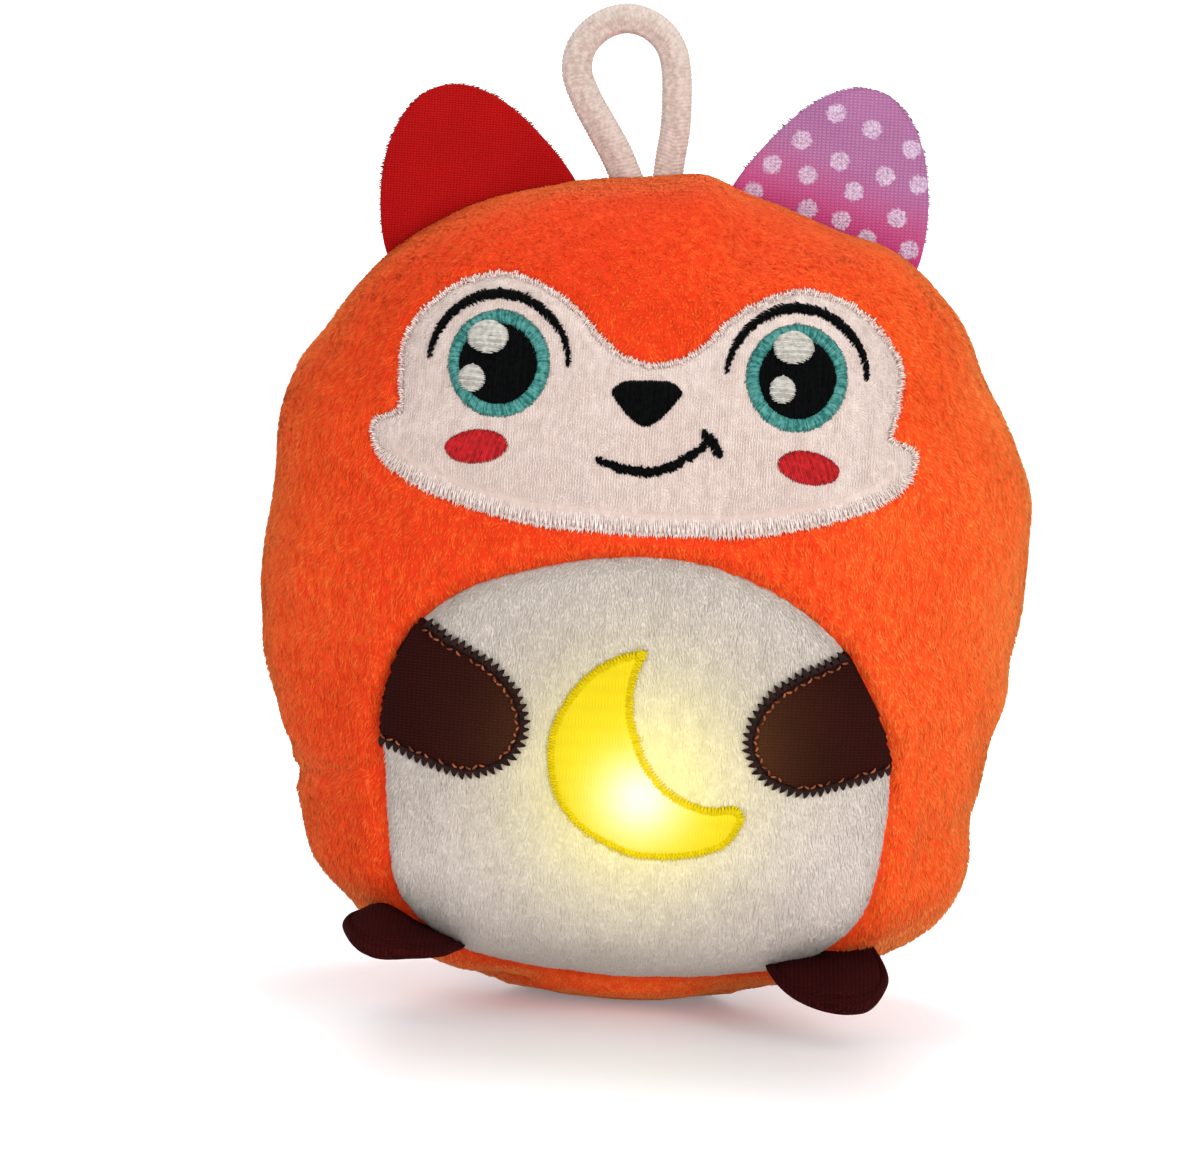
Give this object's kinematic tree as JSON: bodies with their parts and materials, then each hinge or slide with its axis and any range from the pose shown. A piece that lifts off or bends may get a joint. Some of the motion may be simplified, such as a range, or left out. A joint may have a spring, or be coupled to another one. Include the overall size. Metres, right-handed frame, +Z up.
{
  "type": "plush night light",
  "caption": "Round stuffed fox night light with a lamp behind a sewn moon on its belly, a press dome, a battery box under a back flap, and a hang loop.",
  "frame": {"origin": "centre of the flat base, on the floor", "axes": "+Z up through the crown, the face looks along -Y, +X is to the viewer's right"},
  "size_m": [0.1286, 0.1062, 0.1663],
  "materials": {
    "orange_plush": "short plush pile",
    "face_plush": "short plush pile",
    "belly_plush": "plush pile running down",
    "brown_cloth": "fine knitted cloth",
    "red_cloth": "fine knitted cloth",
    "dotted_cloth": "fine knitted cloth with white dots",
    "moon_cloth": "felt with a satin-stitched edge",
    "black_thread": "satin embroidery",
    "teal_thread": "satin embroidery",
    "white_thread": "satin embroidery",
    "red_thread": "satin embroidery",
    "loop_cord": "soft braided cord",
    "fibre_fill": "loose polyester filling",
    "lining_cloth": "plain woven lining",
    "tape_nylon": "hook and loop tape",
    "white_plastic": "moulded, matt",
    "frosted_plastic": "frosted, lit from behind",
    "black_plastic": "moulded, matt",
    "board_laminate": "glass-filled laminate",
    "lens_resin": "clear moulded lens",
    "red_wire_coat": "soft insulation",
    "black_wire_coat": "soft insulation",
    "cell_sleeve": "printed sleeve over steel",
    "bright_steel": "bright plated"
  },
  "bodies": {
    "toy": {"stuffing": "fibre_fill", "front_panel": "orange_plush", "back_panel": "orange_plush", "base_panel": "orange_plush", "belly_panel": "belly_plush", "face_patch": "face_plush", "moon_patch": "moon_cloth", "nose": "black_thread", "mouth": "black_thread", "eye_ring_left": "teal_thread", "eye_ring_right": "teal_thread", "pupil_left": "black_thread", "pupil_right": "black_thread", "glint_large_left": "white_thread", "glint_small_left": "white_thread", "glint_large_right": "white_thread", "glint_small_right": "white_thread", "brow_left": "black_thread", "brow_right": "black_thread", "cheek_left": "red_thread", "cheek_right": "red_thread", "paw_left": "brown_cloth", "paw_right": "brown_cloth", "loop_strip": "tape_nylon", "battery_pouch": "lining_cloth", "battery_box": "white_plastic", "cell_1": "cell_sleeve", "cell_2": "cell_sleeve", "cell_3": "cell_sleeve", "contact_positive": "bright_steel", "contact_negative": "bright_steel", "contact_bridge_top": "bright_steel", "contact_bridge_bottom": "bright_steel", "lamp_housing": "white_plastic", "lamp_bezel": "white_plastic", "circuit_board": "board_laminate", "tact_switch": "black_plastic", "led_1": "lens_resin", "led_2": "lens_resin", "led_3": "lens_resin", "wire_red": "red_wire_coat", "wire_black": "black_wire_coat"},
    "button": {"diffuser_button": "frosted_plastic", "switch_plunger": "black_plastic"},
    "flap": {"back_flap": "orange_plush", "hook_strip": "tape_nylon"},
    "cover": {"battery_cover": "white_plastic", "cover_screw": "bright_steel"},
    "left_ear": {"ear_left": "red_cloth"},
    "right_ear": {"ear_right": "dotted_cloth"},
    "left_foot": {"foot_left": "brown_cloth"},
    "right_foot": {"foot_right": "brown_cloth"},
    "loop": {"hang_loop": "loop_cord"}
  },
  "joints": [
    {"name": "button_press", "type": "slide", "parent": "toy", "child": "button", "axis": [0, 1, 0], "range_m": [0, 0.001], "stiffness_N_per_m": 800},
    {"name": "flap_hinge", "type": "hinge", "parent": "toy", "child": "flap", "pos_m": [0, 0.0481, 0.1025], "axis": [1, 0, 0], "range_deg": [0, 120]},
    {"name": "cover_lift", "type": "slide", "parent": "toy", "child": "cover", "axis": [0, 1, 0], "range_m": [0, 0.012]},
    {"name": "left_ear_bend", "type": "hinge", "parent": "toy", "child": "left_ear", "pos_m": [-0.0294, 0, 0.13391], "axis": [0.9219, 0, 0.3874], "range_deg": [-30, 30], "stiffness_Nm_per_rad": 0.01},
    {"name": "right_ear_bend", "type": "hinge", "parent": "toy", "child": "right_ear", "pos_m": [0.02702, 0, 0.13482], "axis": [0.9448, 0, -0.3278], "range_deg": [-30, 30], "stiffness_Nm_per_rad": 0.01},
    {"name": "left_foot_bend", "type": "hinge", "parent": "toy", "child": "left_foot", "pos_m": [-0.03451, -0.02994, 0.01466], "axis": [-0.8651, 0.4907, 0.1043], "range_deg": [0, 25], "stiffness_Nm_per_rad": 0.02},
    {"name": "right_foot_bend", "type": "hinge", "parent": "toy", "child": "right_foot", "pos_m": [0.03451, -0.02812, 0.01314], "axis": [-0.8852, -0.425, -0.1892], "range_deg": [0, 25], "stiffness_Nm_per_rad": 0.02},
    {"name": "loop_swing", "type": "hinge", "parent": "toy", "child": "loop", "pos_m": [0.0006, 0, 0.14135], "axis": [1, 0, 0], "range_deg": [-50, 50], "stiffness_Nm_per_rad": 0.005}
  ],
  "couplings": [
    {"joint": "cover_lift", "follows": "flap_hinge", "m_per_rad": 0.005729}
  ]
}
